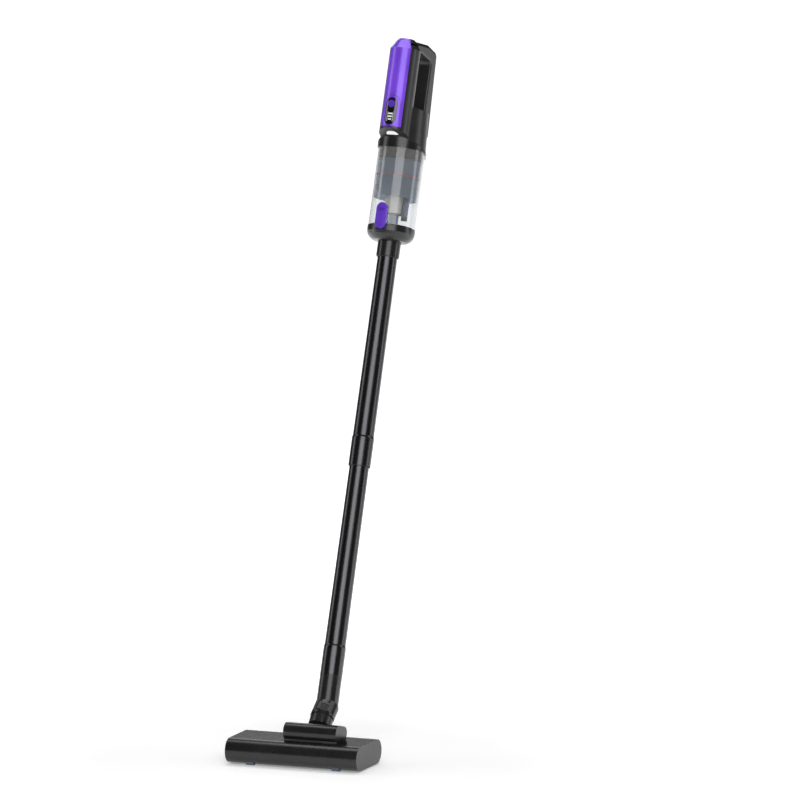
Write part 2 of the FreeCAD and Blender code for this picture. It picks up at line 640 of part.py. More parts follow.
def clear_cup():
    wall = ring("cup_wall", "cup_radius", "cup_radius - cup_wall", "cup_height")
    ears = []
    for side, at in (("l", "-8.2"), ("r", "8.2")):
        ears.append(block(f"cup_ear_{side}", (at, f"{HINGE_Y} - 1.4", "4"), ("4", "8.4", "7.4")))
        ears.append(cross_rod(f"cup_eye_{side}", "3.3", "4", (at, HINGE_Y, "0")))
        bracket = {"l": "-5", "r": "5"}[side]
        ears.append(block(f"cup_bracket_{side}", (bracket, f"{LATCH_Y} + 2.5", LATCH_Z), ("2.4", "8", "7")))
    pin = cross_rod("cup_pin_hole", "1.65", "40", ("0", HINGE_Y, "0"))
    latch_pin = cross_rod("cup_latch_hole", "1.25", "40", ("0", LATCH_Y, LATCH_Z))
    body = cut("cup_body", joined("cup_solid", wall, *ears), pin, latch_pin,
               rod("cup_room", "cup_radius - cup_wall", "cup_height + 2", ("0", "0", "-1")),
               seam_side("cup_above", True))
    keep(body, "dust_cup", "hand")


def hinge_pins():
    keep(cross_rod("hinge_pin", "1.6", "20.4", ("0", HINGE_Y, "0")), "lid_hinge_pin", "hand")
    keep(cross_rod("rocker_pin", "1.25", "12.4", ("0", LATCH_Y, LATCH_Z)), "latch_pin", "hand")


def lid_latch():
    """Purple rocker: its top is pressed in and its foot swings out."""
    half, radius, thick = "12", "9.5", "5.4"
    face = f"{LATCH_Y} - 3.2"
    body = joined("latch_body",
                  block("latch_mid", ("0", f"{face} + {thick} / 2", LATCH_Z), (f"2 * {radius}", thick, f"2 * {half}")),
                  rod("latch_top", radius, thick, ("0", face, f"{LATCH_Z} + {half}"), ALONG_Y),
                  rod("latch_low", radius, thick, ("0", face, f"{LATCH_Z} - {half}"), ALONG_Y))
    crown = rod("latch_crown", "cup_radius + 8.4", "90", ("0", "0", "-30"))
    shaped = common("latch_shaped", body, crown)
    room = block("latch_room", ("0", f"{LATCH_Y} + 2.85", LATCH_Z), ("13", "9.7", "14"))
    boss = cross_rod("latch_boss", "2.6", "6.4", ("0", LATCH_Y, LATCH_Z))
    web = block("latch_web", ("0", f"{LATCH_Y} - 1.4", LATCH_Z), ("6.4", "1.4", "5"))
    bore = cross_rod("latch_bore", "1.25 + running", "30", ("0", LATCH_Y, LATCH_Z))
    keep(cut("latch_done", joined("latch_solid", cut("latch_hollow", shaped, room), boss, web), bore),
         "lid_latch", "hand")


def seam_side(name, above):
    """Half space above or below the slanted seam."""
    far = "90"
    front, back = f"seam_height + {far} * tan(seam_slant)", f"seam_height - {far} * tan(seam_slant)"
    end = "400" if above else "-200"
    return prism(name, [(f"-{far}", front), (far, back), (far, end), (f"-{far}", end)], "200")


def cup_collar():
    band = ring("collar_band", "cup_radius + collar_over", "cup_radius", "seam_height", "collar_height")
    keep(cut("collar", band, seam_side("collar_above", True)), "cup_collar", "hand")


def cup_inners():
    """Filter set that lifts out with the cup."""
    inside = "(cup_radius - cup_wall)"
    keep(ring("seal_top", f"{inside}", f"{inside} - 2.4", "2.6", "cup_height - 2.6"), "cup_seal", "hand")
    flange = cut("flange_cut", rod("flange_body", f"{inside} - 0.4", "18", ("0", "0", "cup_height - 23")),
                 rod("flange_room", f"{inside} - 4.6", "30", ("0", "0", "cup_height - 20")),
                 rod("flange_bore", f"{inside} - 12.6", "30", ("0", "0", "cup_height - 30")))
    keep(flange, "filter_flange", "hand")
    keep(turned("shroud", [
        (f"{inside} - 1.6", "47"), (f"{inside} - 0.7", "47"), (f"{inside} - 0.7", "cup_height - 23"),
        (f"{inside} - 2.4", "cup_height - 23"), (f"{inside} - 2.4", "66.5"), (f"{inside} - 7.6", "65"), (f"{inside} - 7.6", "63"),
        (f"{inside} - 2.4", "64")]), "cyclone_shroud", "hand")
    keep(ring("mark", f"{inside} - 0.1", f"{inside} - 0.7", "1.3", "82.5"), "red_ring", "hand")
    pleats = ring("hepa_body", f"{inside} - 6.6", f"{inside} - 14.1", "cup_height - 23 - 66", "65.6")
    keep(pleats, "hepa_filter", "hand")
    plate = cut("plate_cut", cone("plate_body", f"{inside} - 11.6", f"{inside} - 7.8", "10", ("0", "0", "54.5")),
                rod("plate_bore", "core_filter_radius", "30", ("0", "0", "50")),
                rod("plate_side", "5", "30", ("21.7", "-3", "50")))
    keep(plate, "cyclone_plate", "hand")
    keep(ring("core_filter", "core_filter_radius", "core_filter_radius - 2", "42", "22.3"), "filter_core", "hand")
    keep(cut("side_tube", rod("side_tube_body", "5", "42", ("21.7", "-3", "18")),
               rod("side_tube_bore", "3.6", "60", ("21.7", "-3", "15"))),
         "cyclone_tube", "hand")
    keep(ring_at("tip", "5.2", "3.6", "6", "21.7", "-3", "12"), "tube_tip", "hand")


# ---------------------------------------------------------------- hand unit
FRONT = ("0", "-front_out")
SHOULDER = "195"
FLOOR_OUT = "(cup_radius + collar_over)"


def front_tube(name, inset, low, top_trim):
    """Front tube with its chamfered top, about its own axis."""
    radius = f"front_radius - ({inset})"
    stock = turned(name, [
        ("0", low), (radius, low), (radius, "front_top - 17"), (f"{radius} - 9", f"front_top - 3 - ({top_trim})"),
        (f"{radius} - 12", f"front_top - ({top_trim})"), ("0", f"front_top - ({top_trim})")])
    return put(stock, ("0", "-front_out", "0"))


def handle_plate():
    """D-shaped handle as one rounded plate."""
    plate = prism("handle_plate", [
        ("-30", "172"), ("30", "124"), ("grip_out + 5", "162"), ("grip_out - 3", "front_top - 4"),
        ("20", "front_top + 3"), ("-30", "front_top - 1")], "grip_width")
    gap = prism("handle_gap", [
        ("-front_out + front_radius", "gap_low + 2"), ("grip_in", "gap_low + 1"),
        ("grip_in", "gap_high - 5"), ("-front_out + front_radius", "gap_high + 3")], "grip_width + 2")

    def corner(edge):
        ends = edge.Vertexes
        return len(ends) == 2 and abs(ends[0].X - ends[1].X) > 1

    half = number("grip_width") / 2

    def rim(edge):
        return all(abs(abs(spot.X) - half) < 0.01 for spot in edge.Vertexes)

    def gap_rim(edge):
        box = edge.BoundBox
        inside = box.YMax < number("grip_in") + 0.5 and box.ZMax < number("gap_high") + 4
        return rim(edge) and inside and box.ZMin > number("gap_low") - 8 and box.YMin > -14

    soft_gap = rounded("soft_gap", gap, "9", corner)
    soft_plate = rounded("soft_rim", rounded("soft_plate", plate, "11", corner), "6", rim)
    return rounded("handle_soft", cut("handle_loop", soft_plate, soft_gap), "3.4", gap_rim)


def housing_solid():
    shoulder = cone("house_cone", "cup_radius + collar_over", "neck_top", "102", ("0", "0", "100"))
    lid = cone("house_dome", "neck_top", "neck_top - 14", "9", ("0", "0", "202"))
    top_cut = prism("house_top_cut", [
        ("-60", "gap_low + 10"), ("-front_out + front_radius", "gap_low + 2"),
        ("grip_in", "gap_low + 1"), ("60", "gap_low - 3"), ("60", "260"), ("-60", "260")], "120")
    body = cut("house_body", joined("house_fused", shoulder, lid), top_cut)
    tube = front_tube("house_front", "0", "110", "0")
    saddle = block("house_saddle", ("0", "-front_out / 2 - 6", "160"), ("46", "front_out - 8", "64"))
    solid = joined("house_solid", body, tube, saddle, handle_plate())
    return cut("house_trimmed", solid, seam_side("house_below", False))


def wedge(name, half_angle, low, high):
    """Sector in front of the front tube's axis."""
    reach = "60"
    sketch = outline(name + "_outline", [
        ("0", "-front_out"), (f"{reach} * tan({half_angle})", f"-front_out - {reach}"),
        (f"-{reach} * tan({half_angle})", f"-front_out - {reach}")], UPRIGHT)
    stock = DOC.addObject("Part::Extrusion", name)
    stock.Base = sketch
    stock.DirMode, stock.Solid = "Normal", True
    bind(stock, LengthFwd=f"({high}) - ({low})")
    return put(stock, ("0", "0", low))


def pill(name, half_width, tall, deep_from, depth):
    """Upright stadium block that points at the front."""
    run = f"(({tall}) / 2 - ({half_width}))"
    start = f"-front_out - ({deep_from})"
    return joined(name,
                  box(name + "_mid", (f"-({half_width})", start, f"panel_mid - {run}"),
                      (f"2 * ({half_width})", depth, f"2 * {run}")),
                  rod(name + "_top", half_width, depth, ("0", start, f"panel_mid + {run}"), ALONG_Y),
                  rod(name + "_low", half_width, depth, ("0", start, f"panel_mid - {run}"), ALONG_Y))


BUTTON_Z = "(panel_mid + panel_tall / 2 - panel_half)"
RELEASE_OUT = "42.5"
SEAM_AT_RELEASE = f"(seam_height + {RELEASE_OUT} * tan(seam_slant))"


def on_seam(name, stock):
    """Put stock drawn flat on XY onto the slanted underside of the front tube."""
    holder = DOC.addObject("Part::Compound", name)
    holder.Links = [stock]
    holder.Placement = Placement(Vector(), Rotation(Vector(-1, 0, 0), number("seam_slant")))
    holder.setExpression("Placement.Rotation.Angle", linked("seam_slant"))
    holder.setExpression("Placement.Base.y", linked(f"-{RELEASE_OUT}"))
    holder.setExpression("Placement.Base.z", linked(SEAM_AT_RELEASE))
    return holder


def half_disc(name, radius, low, height):
    return common(name, rod(name + "_disc", radius, height, ("0", "0", low)),
                  box(name + "_half", (f"-({radius})", f"-({radius})", low), (f"2 * ({radius})", radius, height)))


def housing():
    solid = housing_solid()
    rooms = [
        rod("room_cup", "cup_radius - cup_wall + 0.4", "60", ("0", "0", "cup_height - 54")),
        rod("room_motor", "fan_radius + 4.5", "44", ("0", "0", "138")),
        rod("room_battery", "front_bore", "front_top - 7 - 168", ("0", "-front_out", "168")),
        block("room_grip", ("0", "(grip_in + grip_out) / 2 - 1", "232"),
              ("grip_width - 2 * house_wall", "grip_out - grip_in - 2 * house_wall", "92")),
    ]
    shell_room = cut("cover_room", front_tube("cover_outer", "-1", "cover_foot", "-1"),
                     front_tube("cover_inner", "cover_thick", "0", "cover_thick"))
    cover_recess = common("cover_recess", shell_room, wedge("cover_wedge", "cover_half + 0.4", "cover_foot", "330"))
    release = on_seam("release_pocket", half_disc("release_room", "10.3 + press_gap", "-3", "8.6"))
    button = rod("button_room", "button_radius + press_gap", "8", ("0", "-front_out - front_radius - 1", BUTTON_Z),
                 ALONG_Y)
    window = pill("window_room", "panel_half - 4", "panel_tall - 8", "front_radius + 2", "5.2")
    slots = []
    for side, sign in (("l", "-"), ("r", "")):
        for index in range(4):
            slot = block(f"vent_{side}{index}", (f"{sign}22", "38", f"150 + {index} * 7"), ("9", "30", "3"))
            slots.append(slot)
    port = rod("port_room", "4.5", "14", ("0", "grip_out - 5.8", "186"), ALONG_Y)
    hollow = cut("house_hollow", solid, *rooms, cover_recess, release, button, window, *slots, port)
    for side, low in (("left", "-150"), ("right", "0")):
        half = box(f"house_half_{side}", (low, "-150", "0"), ("150", "300", "400"))
        keep(common(f"house_{side}", hollow, half), f"housing_{side}", "hand")


def front_cover():
    """Coloured cover over the front of the front tube, open behind the control panel."""
    skin = cut("skin", front_tube("skin_outer", "0", "cover_foot", "0"),
               front_tube("skin_inner", "cover_thick", "0", "cover_thick"))
    sector = common("skin_sector", skin, wedge("skin_wedge", "cover_half", "cover_foot", "330"))
    window = pill("skin_window", "panel_half - 4", "panel_tall - 8", "front_radius + 2", "8")
    raised = common("bezel_shell", pill("bezel_pill", "panel_half", "panel_tall", "front_radius + 2", "20"),
                    cut("bezel_ring", rod("bezel_out", "front_radius + 0.9", "60", ("0", "-front_out", "150")),
                        rod("bezel_in", "front_radius - 0.4", "62", ("0", "-front_out", "149"))))
    low_trim = box("bezel_trim", ("-50", "-100", "0"), ("100", "100", "cover_foot"))
    keep(cut("skin_done", joined("skin_solid", sector, raised), window, low_trim), "front_cover", "hand")


def panel():
    """Black window with a round hole for the power button."""
    glass = common("glass_body", pill("glass_pill", "panel_half - 4.15", "panel_tall - 8.3", "front_radius + 2", "20"),
                   cut("glass_ring", rod("glass_out", "front_radius + 0.3", "60", ("0", "-front_out", "150")),
                       rod("glass_in", "front_radius - 1.6", "62", ("0", "-front_out", "149"))))
    hole = rod("glass_hole", "button_radius + press_gap", "12",
               ("0", "-front_out - front_radius - 3", BUTTON_Z), ALONG_Y)
    keep(cut("glass_done", glass, hole), "display_window", "hand")
    keep(rod("power", "button_radius", "4.6", ("0", "-front_out - front_radius - 1.1", BUTTON_Z), ALONG_Y),
         "power_button", "hand")
    keep(on_seam("release_button", half_disc("release_half", "10.3", "-0.8", "4.6")), "cup_release", "hand")


def battery():
    """Three cells in a clover inside a printed cage, and the control board below them."""
    reach = "(cell_radius * 1.1648)"
    cells = []
    holes = []
    for index, (across, deep) in enumerate((("0", f"-{reach}"), (f"-{reach} * 0.866", f"{reach} / 2"),
                                            (f"{reach} * 0.866", f"{reach} / 2"))):
        spot = (across, f"-front_out + ({deep})", "206")
        cells.append(rod(f"cell{index}", "cell_radius", "cell_length", spot))
        holes.append(rod(f"cell_hole{index}", "cell_radius", "200", (across, spot[1], "150")))
    keep(group("cells", *cells), "battery_cells", "hand")
    rings = [rod(f"cage_ring{index}", "front_bore - 0.3", "4", ("0", "-front_out", height))
             for index, height in enumerate(("208", "204 + cell_length - 2"))]
    keep(cut("cage", group("cage_rings", *rings), *holes), "battery_cage", "hand")
    keep(block("board", ("0", "-front_out + 2", "187"), ("34", "1.6", "30")), "control_board", "hand")


def motor_set():
    keep(cut("motor_can", rod("motor_body", "motor_radius", "26", ("0", "0", "153")),
             rod("motor_bore", "shaft_radius + running", "40", ("0", "0", "150"))), "motor", "hand")
    keep(ring("mount", "fan_radius + 4.5", "motor_radius", "4", "158"), "motor_mount", "hand")
    keep(ring("foam", "fan_radius + 4.5", "motor_radius + 6", "15", "163"), "exhaust_foam", "hand")
    hub = joined("fan_hub", cone("fan_cone", "9", "5", "8", ("0", "0", "143")),
                 rod("fan_disc", "fan_radius", "1.4", ("0", "0", "149.4")))
    blades = []
    for index in range(9):
        blade = put(bind(DOC.addObject("Part::Box", f"blade{index}"), Length="fan_radius - 7", Width="1.2",
                         Height="6.6"), ("6", "3", "143"))
        holder = DOC.addObject("Part::Compound", f"blade_turned{index}")
        holder.Links = [blade]
        blades.append(put(holder, ("0", "0", "0"), Rotation(Z_AXIS, 40 * index)))
    bore = rod("fan_bore", "shaft_radius", "30", ("0", "0", "130"))
    keep(cut("fan", joined("fan_solid", hub, *blades), bore), "impeller", "hand")
    keep(rod("shaft", "shaft_radius", "32", ("0", "0", "145")), "motor_shaft", "hand")
    keep(ring("divider", "cup_radius - cup_wall", "16", "2.4", "cup_height + 3"), "bulkhead", "hand")


def charging_port():
    port = cut("port", rod("port_body", "4.5", "9", ("0", "grip_out - 5.8", "186"), ALONG_Y),
               rod("port_bore", "2.8", "9", ("0", "grip_out - 3.8", "186"), ALONG_Y))
    keep(port, "charging_port", "hand")


head_nose()
head_cover()
head_base()
end_cap("left", "-")
end_cap("right", "")
hinge_cover()
pivot_pins()
seal_lip()
brush_bearings()
brush_roll()
head_running_gear()
keep(group("head_screw_set", *head_screws("screw")), "head_screws")
neck()
swivel_ring()
elbow()
elbow_button()
wand_tube("low_tube", "lower_tube", "lower", True)
wand_tube("top_tube", "upper_tube", "upper", False)
cup_lid()
inlet_pipe()
lid_seal()
clear_cup()
hinge_pins()
lid_latch()
cup_collar()
cup_inners()
housing()
front_cover()
panel()
battery()
motor_set()
charging_port()

# ---------------------------------------------------------------- checks and files
DOC.recompute()
faults = [thing.Name for thing in DOC.Objects if "Invalid" in thing.State or "Error" in thing.State]
if faults:
    raise RuntimeError(f"objects that failed: {faults}")
for part in PARTS:
    shape = part.Shape
    if shape.isNull() or not shape.isValid() or not shape.Solids:
        raise RuntimeError(f"{part.Label} has no valid solid")
os.makedirs("parts", exist_ok=True)
for part in PARTS:
    part.Shape.exportStep(f"parts/{part.Label}.step")
print(len(PARTS), "parts written")
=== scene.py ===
# %% [markdown]
# # Cordless stick vacuum
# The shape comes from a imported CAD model, which stays as it is. This lesson gives each part the
# plastic, metal, rubber or filter cloth that the real one has, adds the small pieces that are too
# fine for the CAD model, and sets up a plain studio.

import json
import math

import bmesh
import bpy
from mathutils import Matrix, Vector


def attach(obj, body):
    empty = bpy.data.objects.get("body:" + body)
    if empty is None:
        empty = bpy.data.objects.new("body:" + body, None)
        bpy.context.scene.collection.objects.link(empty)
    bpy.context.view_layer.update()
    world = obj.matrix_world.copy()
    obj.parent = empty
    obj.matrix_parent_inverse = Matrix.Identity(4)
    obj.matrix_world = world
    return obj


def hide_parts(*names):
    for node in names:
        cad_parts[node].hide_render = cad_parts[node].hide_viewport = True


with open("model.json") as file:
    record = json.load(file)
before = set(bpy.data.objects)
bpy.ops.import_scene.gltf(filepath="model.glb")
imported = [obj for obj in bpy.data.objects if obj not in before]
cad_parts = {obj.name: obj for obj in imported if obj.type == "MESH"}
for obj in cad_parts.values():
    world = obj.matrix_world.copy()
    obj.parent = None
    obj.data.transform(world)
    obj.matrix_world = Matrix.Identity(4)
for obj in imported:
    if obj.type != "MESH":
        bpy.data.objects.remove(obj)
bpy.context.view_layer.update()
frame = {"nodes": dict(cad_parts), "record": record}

# %% [markdown]
# ## Places
# The hand unit leans with the wand, so its pieces are made in a local frame: Z up the wand, Y to
# the back, X to the side. The joints of the model already know those directions, which saves
# measuring them: the fan turns about the wand's axis and the lid's hinge runs sideways.

# %% Local frames from the joints
MM = 0.001
JOINTS = {joint["name"]: joint for joint in frame["record"]["behaviour"]["joints"]}


def local_frame(origin, up, side):
    """A matrix whose columns are the side, back and up directions and the origin."""
    up, side = Vector(up).normalized(), Vector(side).normalized()
    back = up.cross(side).normalized()
    place = Matrix((side, back, up)).transposed().to_4x4()
    place.translation = Vector(origin)
    return place


FAN_HEIGHT = 150 * MM
fan, lid, swivel, pitch = (JOINTS[name] for name in ("fan_spin", "lid_hinge", "swivel", "pitch"))
HAND = local_frame(Vector(fan["pos_m"]) - Vector(fan["axis"]) * FAN_HEIGHT, fan["axis"], lid["axis"])
NECK = local_frame(pitch["pos_m"], swivel["axis"], (1, 0, 0))
print("hand unit origin", [round(v, 4) for v in HAND.translation])

# %% [markdown]
# ## A helper for nodes and one for colours
# Every finish below is a small graph of shader nodes. One function adds any node with its settings
# and inputs, so that a graph reads from top to bottom. Colours are written as sRGB hex values, as a
# designer would note them, and turned to the linear values that a shader expects.


# %% Node and colour helpers
TONE_A, TONE_B, TONE_OUT = 6, 7, 2  # colour sockets of the Mix node, which has three kinds of each


def linear(hex_colour):
    """Linear RGBA of an sRGB hex colour."""
    parts = [int(hex_colour[i:i + 2], 16) / 255 for i in (1, 3, 5)]
    return tuple(p / 12.92 if p <= 0.04045 else ((p + 0.055) / 1.055) ** 2.4 for p in parts) + (1.0,)


def add(tree, kind, settings=None, inputs=None):
    """Add a node. An input is a plain value, or another node's socket to link."""
    made = tree.nodes.new(kind)
    for name, value in (settings or {}).items():
        setattr(made, name, value)
    for name, value in (inputs or {}).items():
        if isinstance(value, bpy.types.NodeSocket):
            tree.links.new(value, made.inputs[name])
        else:
            made.inputs[name].default_value = value
    return made


def finish_of(name, **shader_values):
    """A new material with its Principled shader set: returns material, tree and shader."""
    material = bpy.data.materials.new(name)
    material.use_nodes = True
    tree = material.node_tree
    shader = tree.nodes["Principled BSDF"]
    for key, value in shader_values.items():
        shader.inputs[key.replace("_", " ")].default_value = value
    return material, tree, shader


def two_tones(tree, factor, first, second):
    """A colour that goes from one to the other; each end is a (factor value, hex colour) pair."""
    share = add(tree, "ShaderNodeMapRange", inputs={
        "Value": factor, "From Min": first[0], "From Max": second[0]}).outputs["Result"]
    return add(tree, "ShaderNodeMix", {"data_type": "RGBA"}, {
        0: share, TONE_A: linear(first[1]), TONE_B: linear(second[1])}).outputs[TONE_OUT]


def per_mm(size):
    """Scale of a noise whose features are about this many millimetres."""
    return 1 / (size * MM)


# %% [markdown]
# ## Black ABS
# The head, neck, lid and hand unit are injection-moulded ABS, pigmented black. The mould is
# polished, so the skin is nearly glossy, but it keeps a faint ripple like orange peel, a few
# millimetres across, and handling leaves slightly duller patches.

# %% Moulded ABS, black
PEEL_MM = 1.6
HANDLING_MM = 35


def moulded(name, light, dark, roughness, peel=0.05, coat=0.0):
    """A moulded plastic or rubber with a faint peel and slightly duller patches."""
    material, tree, shader = finish_of(name, IOR=1.54, Coat_Weight=coat, Coat_Roughness=0.12)
    spot = add(tree, "ShaderNodeTexCoord").outputs["Object"]
    patches = add(tree, "ShaderNodeTexNoise", inputs={
        "Vector": spot, "Scale": per_mm(HANDLING_MM), "Detail": 4.0})
    grain = add(tree, "ShaderNodeTexNoise", inputs={"Vector": spot, "Scale": per_mm(PEEL_MM), "Detail": 2.0})
    tree.links.new(two_tones(tree, patches.outputs["Fac"], (0.3, dark), (0.7, light)),
                   shader.inputs["Base Color"])
    dull = add(tree, "ShaderNodeMapRange", inputs={
        "Value": patches.outputs["Fac"], "From Min": 0.3, "From Max": 0.7,
        "To Min": roughness - 0.02, "To Max": roughness + 0.03})
    tree.links.new(dull.outputs["Result"], shader.inputs["Roughness"])
    bump = add(tree, "ShaderNodeBump", inputs={
        "Height": grain.outputs["Fac"], "Strength": peel, "Distance": 0.4 * MM})
    tree.links.new(bump.outputs["Normal"], shader.inputs["Normal"])
    return material


BLACK_ABS = moulded("abs_black_moulded", "#1c1c1d", "#19191a", 0.26)
GRIP_ABS = moulded("abs_black_fine_texture", "#202021", "#1c1c1d", 0.34, peel=0.1)
GREY_ABS = moulded("abs_grey_moulded", "#77797d", "#6a6c70", 0.45)
WHITE_ABS = moulded("abs_white_moulded", "#fafafa", "#f0f0f1", 0.3)
print("moulded plastics:", 4)

# %% [markdown]
# ## Purple pearl lacquer
# The front cover, the latch and the power button are ABS with a pearl lacquer. Pearl pigment gives
# a deep violet that turns lighter where it faces the light, and a thin clear coat lies on top.

# %% Pearl lacquer over ABS
FLAKE_MM = 0.5  # real flakes are some 0.05 mm across, so they are drawn this coarse to show


def pearl_lacquer(name, light, dark):
    material, tree, shader = finish_of(
        name, Roughness=0.36, Metallic=0.25, Coat_Weight=0.5, Coat_Roughness=0.1)
    spot = add(tree, "ShaderNodeTexCoord").outputs["Object"]
    flakes = add(tree, "ShaderNodeTexVoronoi", inputs={"Vector": spot, "Scale": per_mm(FLAKE_MM)})
    cloud = add(tree, "ShaderNodeTexNoise", inputs={"Vector": spot, "Scale": per_mm(40), "Detail": 3.0})
    blend = add(tree, "ShaderNodeMath", {"operation": "MULTIPLY_ADD"})
    tree.links.new(flakes.outputs["Distance"], blend.inputs[0])
    tree.links.new(cloud.outputs["Fac"], blend.inputs[2])
    blend.inputs[1].default_value = 0.12
    tree.links.new(two_tones(tree, blend.outputs["Value"], (0.35, dark), (0.75, light)),
                   shader.inputs["Base Color"])
    bump = add(tree, "ShaderNodeBump", inputs={
        "Height": flakes.outputs["Distance"], "Strength": 0.03, "Distance": 0.2 * MM})
    tree.links.new(bump.outputs["Normal"], shader.inputs["Normal"])
    return material


PURPLE = pearl_lacquer("pearl_lacquer_violet", "#7d48e2", "#6c3cce")
# A darker copy of the same lacquer that paints shade: the groove and rim round the window and the arcs on the
# latch.
PURPLE_PAINTED_SHADE = pearl_lacquer("pearl_lacquer_painted_shade", "#4a2892", "#3c1f7c")
PURPLE_DEEP = pearl_lacquer("pearl_lacquer_deep_violet", "#6c3ed0", "#5a30b4")

# %% [markdown]
# ## Black anodised aluminium
# The two wand tubes are drawn aluminium, brushed along their length and anodised black. The brush
# lines run up the tube and stretch every highlight across it.

# %% Anodised tube, brushed lengthwise
BRUSH_LINE_MM = 0.8
LINE_STRETCH = 0.012  # a line is about eighty times as long as it is wide


def brushed_metal(name, light, dark, roughness, up, line=BRUSH_LINE_MM, strength=0.08):
    """Metal with fine lines along a direction of the model."""
    material, tree, shader = finish_of(name, Metallic=1.0)
    along = Vector(up).normalized().rotation_difference(Vector((0, 0, 1))).to_euler()
    spot = add(tree, "ShaderNodeTexCoord").outputs["Object"]
    turned = add(tree, "ShaderNodeMapping", inputs={"Vector": spot, "Rotation": tuple(along)})
    squeezed = add(tree, "ShaderNodeMapping", inputs={
        "Vector": turned.outputs["Vector"], "Scale": (1, 1, LINE_STRETCH)})
    lines = add(tree, "ShaderNodeTexNoise", inputs={
        "Vector": squeezed.outputs["Vector"], "Scale": per_mm(line), "Detail": 5.0})
    tree.links.new(two_tones(tree, lines.outputs["Fac"], (0.3, dark), (0.7, light)),
                   shader.inputs["Base Color"])
    dull = add(tree, "ShaderNodeMapRange", inputs={
        "Value": lines.outputs["Fac"], "To Min": roughness - 0.05, "To Max": roughness + 0.07})
    tree.links.new(dull.outputs["Result"], shader.inputs["Roughness"])
    bump = add(tree, "ShaderNodeBump", inputs={
        "Height": lines.outputs["Fac"], "Strength": strength, "Distance": 0.2 * MM})
    tree.links.new(bump.outputs["Normal"], shader.inputs["Normal"])
    return material


UP_WAND = fan["axis"]
TUBE = brushed_metal("aluminium_anodised_black", "#525254", "#464648", 0.25, UP_WAND)
FLANGE_METAL = brushed_metal("aluminium_satin_grey", "#76736f", "#4c4a49", 0.2, UP_WAND, line=3.5)
STEEL = brushed_metal("steel_turned", "#c9c9cb", "#a5a5a8", 0.3, (1, 0, 0), line=0.5)

# %% [markdown]
# ## Clear and smoked polycarbonate
# The cup is clear polycarbonate and the cyclone parts inside it are smoked blue-grey. Light goes
# through both, so the shader transmits. A thin wall needs its real IOR of 1.585 to catch bright
# lines at its edges.


# %% Polycarbonate
def polycarbonate(name, tint, roughness, transmission):
    material, tree, shader = finish_of(name, IOR=1.585, Transmission_Weight=transmission)
    spot = add(tree, "ShaderNodeTexCoord").outputs["Object"]
    flow = add(tree, "ShaderNodeTexNoise", inputs={"Vector": spot, "Scale": per_mm(60), "Detail": 2.0})
    tree.links.new(two_tones(tree, flow.outputs["Fac"], (0.2, tint[0]), (0.8, tint[1])),
                   shader.inputs["Base Color"])
    dull = add(tree, "ShaderNodeMapRange", inputs={
        "Value": flow.outputs["Fac"], "To Min": roughness, "To Max": roughness + 0.04})
    tree.links.new(dull.outputs["Result"], shader.inputs["Roughness"])
    return material


CLEAR = polycarbonate("polycarbonate_clear", ("#f7f8f9", "#fbfcfd"), 0.02, 1.0)
# Thick polycarbonate swallows a little light, which is why the cup looks grey along its edges.
clear_tree = CLEAR.node_tree
absorbed = add(clear_tree, "ShaderNodeVolumeAbsorption", inputs={
    "Color": linear("#bcbfc2"), "Density": 120.0})
clear_output = next(node for node in clear_tree.nodes if node.type == "OUTPUT_MATERIAL")
clear_tree.links.new(absorbed.outputs["Volume"], clear_output.inputs["Volume"])
SMOKED = polycarbonate("polycarbonate_smoked", ("#b4c0d0", "#c4cedb"), 0.12, 0.66)
SMOKED_DARK = polycarbonate("polycarbonate_smoked_dark", ("#7d8794", "#8b95a2"), 0.2, 0.45)

# %% [markdown]
# ## Acrylic window, rubber and small trims
# The display window is black acrylic, polished. Seals are black EPDM rubber, matt with a fine
# grit. Rollers are nylon, and the ring inside the cup is red silicone.

# %% Acrylic, rubber, nylon and silicone
ACRYLIC = moulded("acrylic_black_polished", "#121214", "#0d0d0f", 0.1, peel=0.01, coat=0.6)
RUBBER = moulded("epdm_rubber_black", "#1d1d1e", "#161617", 0.62, peel=0.35)
NYLON = moulded("nylon_blue_grey", "#5b6675", "#4d5866", 0.4)
SILICONE = moulded("silicone_red", "#c8564a", "#b84a40", 0.45)
PRINT_WHITE = moulded("printed_white", "#f2f2f4", "#e6e6ea", 0.4)
# A near-black that paints the shade in gaps and seams. The dark strips on the neck use it too.
SHADOW_GAP = moulded("abs_black_painted_gap_shade", "#0c0c0d", "#080809", 0.55)
BOARD = moulded("solder_mask_green", "#1e5a38", "#174a2e", 0.35)
CELL_WRAP = moulded("pvc_shrink_wrap_blue", "#2f62b0", "#2855a0", 0.32)

# %% [markdown]
# ## Filter cloth
# The inner filter is spunbonded polyester over a cage. It is a mat of white fibres: soft, without
# shine, with a fine weave of about a millimetre that shows as a grid.

# %% Spunbonded polyester
WEAVE_MM = 1.4  # real fibres are some 0.02 mm thick, so the weave is drawn this coarse to show
WAVE_PERIOD = 2 * math.pi / 20  # a wave texture of scale 1 repeats every 2 pi / 20 metres


